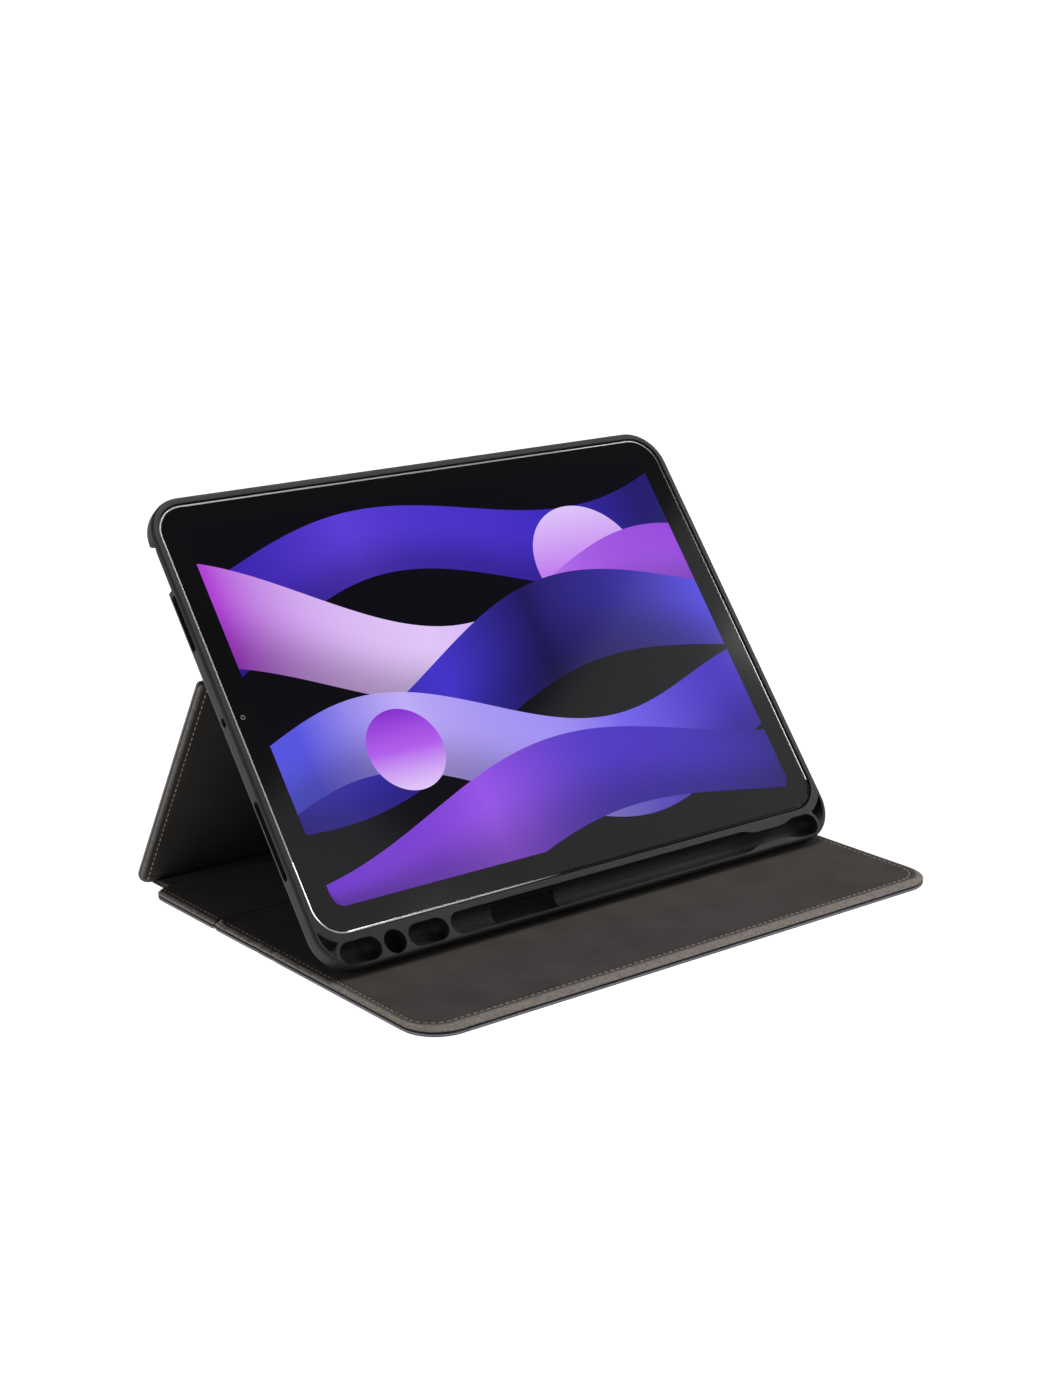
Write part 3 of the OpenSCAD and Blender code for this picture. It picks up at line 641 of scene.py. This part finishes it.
def on_support(points):
    """Panel coordinates, across, up from the spine and out of the skin, to the row frame."""
    points = np.asarray(points, float) - [0, 0, skin_thickness]
    return turned(points, support_turn, spine_fold)


skin_start = 0.1 * mm                  # from the spine's fold along the panel
lining_start = 1.7 * mm                # the padding stops short, clear of the soft spine
panel_stop = support_length - 0.1 * mm
turn_corner = 1.5 * mm                 # where the panel turns into the back panel

# Painted shade: the support's lining is a darker copy of the nap, and its rim has a painted
# highlight.
shaded_nap, _ = brushed("brushed_lining_painted_shade", linear(36, 33, 31), linear(43, 40, 37),
                      linear(98, 92, 86), linear(124, 117, 110), 0.4)

x, y = sheet_grid(cover_half, lining_start, panel_stop, fold_corner, turn_corner)
d = inset(x, y, cover_half, lining_start, panel_stop + past, fold_corner, fold_corner)
points, faces = closed_layer(x, y, lining_top(d, d), lining_bottom(d))
facing = add_mesh("support_facing", on_support(points), faces, shaded_nap, "support")
hem = inset(x, y, cover_half, lining_start - past, panel_stop + past, fold_corner, fold_corner)
note(facing, "hem", hem / mm, np.full_like(x, edge_band), 0)
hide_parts("support_lining")

x, y = sheet_grid(cover_half, skin_start, panel_stop, fold_corner, turn_corner)
d = inset(x, y, cover_half, skin_start, panel_stop, fold_corner, turn_corner)
points, faces = closed_layer(x, y, skin_top(d), skin_bottom(d))
backing = add_mesh("support_backing", on_support(points), faces, leather, "support")
note(backing, "skin_edge", d / mm + skin_shade, d / mm + skin_shade, 0)
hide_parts("support_skin")

support_path = outline_path(cover_half, lining_start - past, panel_stop + past, fold_corner,
                            fold_corner, stitch_in)
middles, ways = stitch_places(support_path, stitch_pitch)
inside = middles[:, 1] < panel_stop - free_of_end
inside = inside & (middles[:, 1] > lining_start + free_of_end)
stitch_heights = {
    "support_facing_stitching": lining_top(stitch_in, stitch_in) + thread * proud,
    "support_backing_stitching": skin_bottom(stitch_in) + thread * sunk}
for name, height in stitch_heights.items():
    points, faces = stitch_bars(middles[inside], ways[inside], np.full(inside.sum(), height))
    add_mesh(name, on_support(points), faces, yarn, "support")

# ---- Soft folds ---------------------------------------------------------------------
# At the spine and behind the shell the skin and lining carry on round the fold with no
# board in them. Each is a strip bent round its fold, between the two panels beside it.


def bent_section(fold, radius, angle_start, angle_stop, wing_start, wing_stop):
    """Section of a fold in y and z: an arc about the fold, with a wing at each end."""
    a = np.linspace(angle_start, angle_stop, 17)
    arc = fold + radius * np.stack([np.cos(a), np.sin(a)], -1)
    return np.concatenate([[arc[0] + wing_start], arc, [arc[-1] + wing_stop]])


strip_ends = 1.5 * mm                  # a strip is drawn in over this length at both ends
drawn_in = np.array([0.7, 0.92, 1, 1, 0.92, 0.7])


def add_fold(name, outer, inner, half, finish):
    """Carries a closed section along X, drawn in a little at its two ends."""
    section = np.concatenate([outer, inner[::-1]])
    middle = section.mean(0)
    from_end = half - strip_ends * np.array([0, 0.4, 1])
    along = np.concatenate([-from_end, from_end[::-1]])
    ring = middle + (section - middle)[None] * drawn_in[:, None, None]
    across = np.broadcast_to(along[:, None, None], ring.shape[:2] + (1,))
    n = len(section)
    k = np.arange(len(along) - 1)[:, None] * n
    i = np.arange(n)
    j = (i + 1) % n
    faces = np.stack([k + i, k + j, k + n + j, k + n + i], -1).reshape(-1, 4).tolist()
    faces += [i[::-1].tolist(), (i + (len(along) - 1) * n).tolist()]
    return add_mesh(name, np.concatenate([across, ring], -1), faces, finish)


fold = spine_fold[1:]
support_way = np.array([math.cos(support_turn), math.sin(support_turn)])
support_out = np.array([support_way[1], -support_way[0]])
spine_half = cover_half - fold_corner
strip_low, strip_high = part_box("spine_strip")
wing = 1.6 * mm                        # how far a strip runs in under its neighbours
least_bend = 0.02 * mm                 # radius of a strip's inner side
strip_bend = 0.98 * skin_thickness     # and of its outer side
quarter = math.pi / 2
back_y = np.array([-1.0, 0.0])
spine_wing = strip_high.y - strip_low.y + wing
outer, inner = [bent_section(fold, radius, -quarter, support_turn - quarter,
                             back_y * spine_wing, support_way * wing)
                for radius in (strip_bend, least_bend)]
spine_cover = add_fold("spine_cover", outer, inner, spine_half, leather)
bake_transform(spine_cover)
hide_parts("spine_strip")

# The soft lining lies over that strip, inside the fold.
soft_lining = 1.9 * mm                 # padded nearly as thick as the stitched edges
pressed_lining = 0.5 * mm              # pressed thin in the fold, so that it can open flat
under_base = 1 * mm
from_fold = np.array([1.1, 1.6, 2.2, 3, 4, 5, 6, 6.8, 7.6]) * mm
padding = pressed_lining + (soft_lining - pressed_lining) * step(from_fold, 1.4 * mm, 6.8 * mm)
base_side = fold + np.stack([-from_fold, padding], -1)
support_side = fold + from_fold[:, None] * support_way - padding[:, None] * support_out
base_end = [strip_low.y - under_base, base_side[-1, 1]]
upper = np.concatenate([[base_end], base_side[::-1], support_side])
lower = bent_section(fold, least_bend, quarter, support_turn + quarter,
                     back_y * (spine_wing - wing + under_base), support_way * from_fold[-1])
spine_lining = add_fold("spine_lining", lower, upper, spine_half, nap)
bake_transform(spine_lining)

# Behind the shell the strip of skin turns from the support panel up to the back panel.
fold = back_fold[1:]
screen_way = np.array([math.cos(tilt), math.sin(tilt)])
back_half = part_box("back_strip")[1].x + 1 * mm
back_wing = 2.4 * mm                   # up the shell's back, to the back panel
back_bends = 0.03 * mm, skin_thickness
facings = support_turn + quarter, tilt + quarter        # the support's lining, the shell
outer, inner = [bent_section(fold, radius, *facings, -support_way * wing, screen_way * back_wing)
                for radius in back_bends]
back_fold_cover = add_fold("back_fold_cover", outer, inner, back_half, leather)
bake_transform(back_fold_cover)
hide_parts("back_strip")

# ---- Back panel ---------------------------------------------------------------------
# The cover's last section, glued to the upper part of the shell's back, with a window
# for the rear camera.


def dress(material, *names):
    """Gives CAD nodes a finish."""
    for name in names:
        nodes[name].data.materials.clear()
        nodes[name].data.materials.append(material)


dress(leather, "back_skin")

# ---- Boards, tape and magnets -------------------------------------------------------
# Grey fibreboard, black foam tape and nickel-plated bars and discs. All are sealed in, but
# for the edges of the back board and of its tape.

board_pulp = new_finish("fibreboard", (0.42, 0.38, 0.31), 0.85)
mottle(board_pulp, grain(board_pulp, 0.002, 4.0), (0.36, 0.32, 0.26), (0.46, 0.42, 0.35))
emboss(board_pulp, (grain(board_pulp, 0.0007, 3.0), 0.1 * mm))
dress(board_pulp, "front_board", "rear_board", "support_board")

# The back board's edge is in sight behind the shell, so it is inked as dark as the skin.
inked = new_finish("inked_edge", skin_dark, 0.6, Specular_IOR_Level=0.3)
mottle(inked, grain(inked, 0.002, 4.0), skin_dark, skin_light)
emboss(inked, (grain(inked, 0.0007, 3.0), 0.1 * mm))
dress(inked, "back_board")

foam = new_finish("foam_tape", (0.012, 0.012, 0.012), 0.9)
mottle(foam, grain(foam, 0.001), (0.008, 0.008, 0.008), (0.018, 0.018, 0.018))
emboss(foam, (grain(foam, 0.0005), 0.1 * mm))
dress(foam, "back_tape")

plated = new_finish("nickel_plate", (0.6, 0.58, 0.54), 0.25, Metallic=1.0)
uneven_gloss(plated, grain(plated, 0.0006, 3.0), 0.2, 0.4)
dress(plated, "seat_magnets", "closing_magnets", "edge_magnets")

# ---- Moulded shell ------------------------------------------------------------------
# One moulding of soft charcoal rubber-like plastic with a fine spark-eroded texture:
# tray, lip, side windows and stylus rail. The volume covers are of the same stuff.

rubber_dark = linear(32, 31, 31)
rubber_light = linear(39, 38, 37)

soft_shell = new_finish("moulded_rubber", rubber_dark, 0.5, Specular_IOR_Level=0.3)
mottle(soft_shell, grain(soft_shell, 0.025, 3.0), rubber_dark, rubber_light)
emboss(soft_shell, (grain(soft_shell, 0.0003, 2.0), 0.03 * mm))
uneven_gloss(soft_shell, grain(soft_shell, 0.01, 2.0), 0.46, 0.58)
dress(soft_shell, "shell", "volume_up_cover", "volume_down_cover")

# ---- Tablet body --------------------------------------------------------------------
# Bead-blasted aluminium with a bright cut chamfer round the glass. The keys, port and
# camera ring are of the same metal, and the speaker meshes are black.

blasted = new_finish("blasted_aluminium", (0.36, 0.36, 0.38), 0.34, Metallic=1.0)
mottle(blasted, grain(blasted, 0.0005, 2.0), (0.33, 0.33, 0.35), (0.39, 0.39, 0.41))
emboss(blasted, (grain(blasted, 0.00015, 1.0), 0.01 * mm))
dress(blasted, "tablet_housing", "power_button", "volume_up_key", "volume_down_key",
      "charging_port", "rear_camera_ring")


def on_screen(points):
    """Screen coordinates, across, up and out of the glass, to the row frame."""
    return turned(np.asarray(points, float), tilt, screen_centre)


# The cut edge round the glass is a polished bead, flat on top and rounded outwards.
bead_in, bead_out = 0.55 * mm, 0.45 * mm
bead_drop = 0.42 * mm
bead_stand = 0.06 * mm                 # above the glass
bead_slack = 0.05 * mm                 # inside the housing's outline
bead_lap = 0.5 * mm                    # how far it lies under the lip where that laps over
bead_corner = 12 * mm


def rim_path(half_x, half_y, r, count=17):
    """Points and outward ways round a rounded rectangle, the corners in equal turns."""
    ways, places = [], []
    for sx, sy, first in ((1, 1, 0), (-1, 1, 90), (-1, -1, 180), (1, -1, 270)):
        a = np.radians(np.linspace(first, first + 90, count))
        ways.append(np.stack([np.cos(a), np.sin(a)], -1))
        places.append(np.array([sx * (half_x - r), sy * (half_y - r)]) + r * ways[-1])
    return np.concatenate(places), np.concatenate(ways)


half_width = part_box("tablet_housing")[1].x
half_height = 178.5 / 2 * mm            # of the housing, up along the glass
places, ways = rim_path(half_width - bead_out - bead_slack, half_height - bead_out - bead_slack,
                        bead_corner)
turn = np.radians(np.linspace(0, 90, 9))
across = np.concatenate([[-bead_in, -bead_in, -bead_in * 0.9], bead_out * np.sin(turn)])
rise = np.concatenate([[-bead_drop, 0.0, bead_stand],
                       bead_stand - bead_drop * (1 - np.cos(turn))])
ring = places[:, None, :] + ways[:, None, :] * across[None, :, None]
lapped = step(-places[:, 0], half_width - 26 * mm, half_width - 6 * mm)
lapped = lapped * step(places[:, 1], -40 * mm, 0.0)     # the lip laps over it at upper left
level = rise[None, :, None] - bead_lap * lapped[:, None, None]
points = np.concatenate([ring, np.broadcast_to(level, ring.shape[:2] + (1,))], -1)
n, m = points.shape[:2]
i, j = np.arange(n)[:, None], np.arange(m)[None, :]
ahead, over = (i + 1) % n, (j + 1) % m
bead_faces = np.stack([i * m + j, i * m + over, ahead * m + over, ahead * m + j], -1)
polished = new_finish("polished_aluminium", (0.5, 0.5, 0.52), 0.12, Metallic=1.0)
glass_bead = add_mesh("glass_bead", on_screen(points.reshape(-1, 3)), bead_faces.reshape(-1, 4),
                      polished, "tablet")

# Painted shade: the bead's colour is near black along the lower edge, right of its left end,
# where the lip keeps the light off it.
shaded = step(-places[:, 1], half_height - 16 * mm, half_height - 5 * mm)
shaded = edge_band * shaded * step(places[:, 0], -46 * mm, -30 * mm)
shade = glass_bead.data.attributes.new("shaded", "FLOAT", "POINT")
shade.data.foreach_set("value", np.repeat(shaded, m).astype(np.float32))
uneven_gloss(polished, grain(polished, 0.003, 3.0), 0.1, 0.2)
bright = mottle(polished, grain(polished, 0.002), (0.46, 0.46, 0.48), (0.54, 0.54, 0.56))
set_colour(polished, tint_edge(polished, bright, "shaded", 5.6, 6.8, (0.012, 0.012, 0.013),
                               (0.02, 0.02, 0.021)))

# The front camera in the glass's left border: a dark pupil for its lens, in a pale ring that is
# a painted highlight.
eye_low, eye_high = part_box("front_camera")
eye = np.array([(eye_low.x + eye_high.x) / 2, 0.0])
pupil, outer_ring = 0.62 * mm, 0.95 * mm
sides = 32
a = np.linspace(0, 2 * np.pi, sides, endpoint=False)
circle = np.stack([np.cos(a), np.sin(a)], -1)
k = np.arange(sides)
after = (k + 1) % sides


def lens_or_highlight_disc(name, radii, level, eye_faces, tone):
    """A flat disc or ring on the glass round the camera, on circles of the given radii: the
    lens's dark pupil, and the painted highlight ring round it.
    """
    rings = [np.column_stack([eye + r * circle, np.full(sides, level)]) for r in radii]
    flat_tone = new_finish(name + "_enamel", tone, 0.2)
    mottle(flat_tone, grain(flat_tone, 0.0004), tone, tuple(0.7 * value for value in tone))
    add_mesh(name, on_screen(np.concatenate(rings)), eye_faces, flat_tone, "tablet",
             smooth=False)


# Painted highlight: the pale ring round the lens.
lens_or_highlight_disc("camera_ring", (pupil, outer_ring), 0.03 * mm,
        np.stack([k, k + sides, after + sides, after], -1), linear(128, 126, 132))
lens_or_highlight_disc("camera_pupil", (pupil,), 0.02 * mm, k[None, :], linear(10, 10, 16))

# Woven mesh behind the speaker slots, and the coated glass of both cameras.
mesh_black = new_finish("speaker_mesh", (0.01, 0.01, 0.01), 0.6)
emboss(mesh_black, (grain(mesh_black, 0.0004, kind="ShaderNodeTexVoronoi"), 0.3 * mm))
mottle(mesh_black, grain(mesh_black, 0.0004, kind="ShaderNodeTexVoronoi"),
       (0.004, 0.004, 0.004), (0.03, 0.03, 0.03))
dress(mesh_black, "speaker_meshes", "battery_cells")

optic = new_finish("lens_glass", (0.01, 0.01, 0.016), 0.05, Coat_Weight=1.0, Coat_Roughness=0.02)
mottle(optic, grain(optic, 0.004), (0.006, 0.006, 0.012), (0.016, 0.014, 0.026))
dress(optic, "rear_camera_lens", "front_camera")

# ---- Glass and display --------------------------------------------------------------
# Cover glass with a black border, glued into the housing over the display. The lit picture
# is a generic one of layered wave bands and two discs, in indigo, violet and lilac on black.

border_glass = new_finish("border_glass", linear(14, 14, 16), 0.1, Specular_IOR_Level=0.1)
mottle(border_glass, grain(border_glass, 0.05), linear(13, 13, 15), linear(15, 15, 17))
dress(border_glass, "cover_glass")

# The display's half height comes from its box, less what its thickness adds to that.
display_low, display_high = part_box("display_panel")
display_half = display_high.x
display_thickness = 0.6 * mm
display_rise = (display_high.z - display_low.z) / 2 / math.sin(tilt)
display_rise -= 0.5 * display_thickness / math.tan(tilt)
display_corner = 5 * mm
layer_step = 0.008 * mm                # each layer of the picture lies that far over the last
first_layer = 0.01 * mm
picture_points, picture_faces, picture_tones = [], [], []


def display_limit(x):
    """Half height of the display at x, less at its rounded corners."""
    over = np.maximum(np.abs(x) - (display_half - display_corner), 0)
    return display_rise - display_corner + np.sqrt(np.maximum(display_corner**2 - over**2, 0))


def lay_band(x, low, high, tone, layer):
    """A sheet of the picture between two curves, trimmed to the display, toned by vertex."""
    limit = display_limit(x)
    low, high = np.clip(low, -limit, limit), np.clip(high, -limit, limit)
    across = np.linspace(0, 1, 13)
    y = low[:, None] + (high - low)[:, None] * across
    xx = np.repeat(x[:, None], len(across), 1)
    w = np.full_like(y, layer * layer_step + first_layer)
    base = sum(len(p) for p in picture_points)
    index = np.arange(y.size).reshape(y.shape) + base
    quads = np.stack([index[:-1, :-1], index[1:, :-1], index[1:, 1:], index[:-1, 1:]], -1)
    picture_points.append(np.stack([xx, y, w], -1).reshape(-1, 3))
    picture_faces.append(quads.reshape(-1, 4))
    picture_tones.append(tone(xx, y, across[None, :]).reshape(-1, 3))


def blend_tones(stops, t):
    """Colours along a row of stops, by linear mixing."""
    stops = np.array([linear(*s) for s in stops])
    t = np.clip(t, 0, 1) * (len(stops) - 1)
    i = np.clip(t.astype(int), 0, len(stops) - 2)
    f = (t - i)[..., None]
    return stops[i] * (1 - f) + stops[i + 1] * f


xs = np.linspace(-display_half, display_half, 241)
unlit = np.array(linear(7, 5, 14))
lay_band(xs, -np.full_like(xs, 1.0), np.full_like(xs, 1.0),
         lambda x, y, t: np.broadcast_to(unlit, x.shape + (3,)), 0)


def lay_disc(x, y, r, tones, layer):
    """A round motif, its tones running from its lower edge to its upper one."""
    across = x + r * np.sin(np.linspace(-np.pi / 2, np.pi / 2, 97))
    arc = np.sqrt(np.maximum(r**2 - (across - x) ** 2, 0))
    lay_band(across, y - arc, y + arc,
             lambda px, py, t: blend_tones(tones, (py - y) / r * 0.5 + 0.5 + 0 * px), layer)


# Discs under a band: place across and up, radius, tones from the lower edge to the upper.
discs = {1: (64, 36, 27, [(150, 60, 225), (196, 130, 240), (222, 196, 248)]),
         4: (-58, -26, 17, [(226, 200, 250), (178, 96, 236), (132, 44, 206)])}
# Bands: middle, rise, wave height, wave length, phase, width, tones from left to right.
wave_bands = [
    (50, 0.10, 15, 250, 2.6, 37,
     [(56, 34, 170), (92, 60, 214), (60, 40, 190), (34, 26, 110)]),
    (20, -0.06, 17, 230, 5.2, 37,
     [(176, 66, 214), (224, 198, 248), (186, 120, 238), (140, 50, 216)]),
    (-8, 0.12, 16, 270, 0.6, 34,
     [(44, 32, 140), (66, 52, 200), (30, 22, 92), (86, 74, 226)]),
    (-36, -0.05, 15, 210, 3.6, 36,
     [(84, 84, 222), (190, 172, 246), (112, 96, 234), (64, 40, 186)]),
    (-66, 0.08, 12, 260, 1.2, 34,
     [(96, 40, 190), (150, 82, 230), (70, 44, 190), (44, 30, 140)])]
swell, swell_length = 0.22, 310        # how the bands widen and narrow along their length
for layer, (middle, rise, height, wave, phase, width, tones) in enumerate(wave_bands):
    curve = (middle + height * np.sin(2 * np.pi * xs / mm / wave + phase)) * mm + rise * xs
    widening = 1 + swell * np.sin(2 * np.pi * xs / mm / swell_length + 2 * phase)
    half_band = 0.5 * width * mm * widening

    def tone(x, y, t, tones=tones, phase=phase):
        """Runs through the band's tones from left to right, darker along its lower edge."""
        run = (x / display_half * 0.5 + 0.5) + 0.06 * np.sin(x / mm / 21 + phase)
        shade = 0.55 + 0.45 * step(t, 0.0, 0.75)
        return blend_tones(tones, run) * (shade + 0 * x)[..., None]

    if layer in discs:
        place_x, place_y, r, disc_tones = discs[layer]
        lay_disc(place_x * mm, place_y * mm, r * mm, disc_tones, 2 * layer + 1)
    lay_band(xs, curve - half_band, curve + half_band, tone, 2 * layer + 2)

lit = new_finish("lit_display", (0.002, 0.002, 0.002), 0.1, Specular_IOR_Level=0.1,
                 Emission_Strength=1.0)
tone_read = lit.node_tree.nodes.new("ShaderNodeAttribute")
tone_read.attribute_name = "tone"
wire(lit, tone_read.outputs["Color"], shader_of(lit).inputs["Emission Color"])
display_picture = add_mesh("display_picture", on_screen(np.concatenate(picture_points)),
                           np.concatenate(picture_faces), lit, "tablet",
                           smooth=False)
tones = np.concatenate(picture_tones)
opaque = np.column_stack([tones, np.ones(len(tones))]).astype(np.float32)
store = display_picture.data.attributes.new("tone", "FLOAT_COLOR", "POINT")
store.data.foreach_set("color", opaque.ravel())
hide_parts("display_panel")
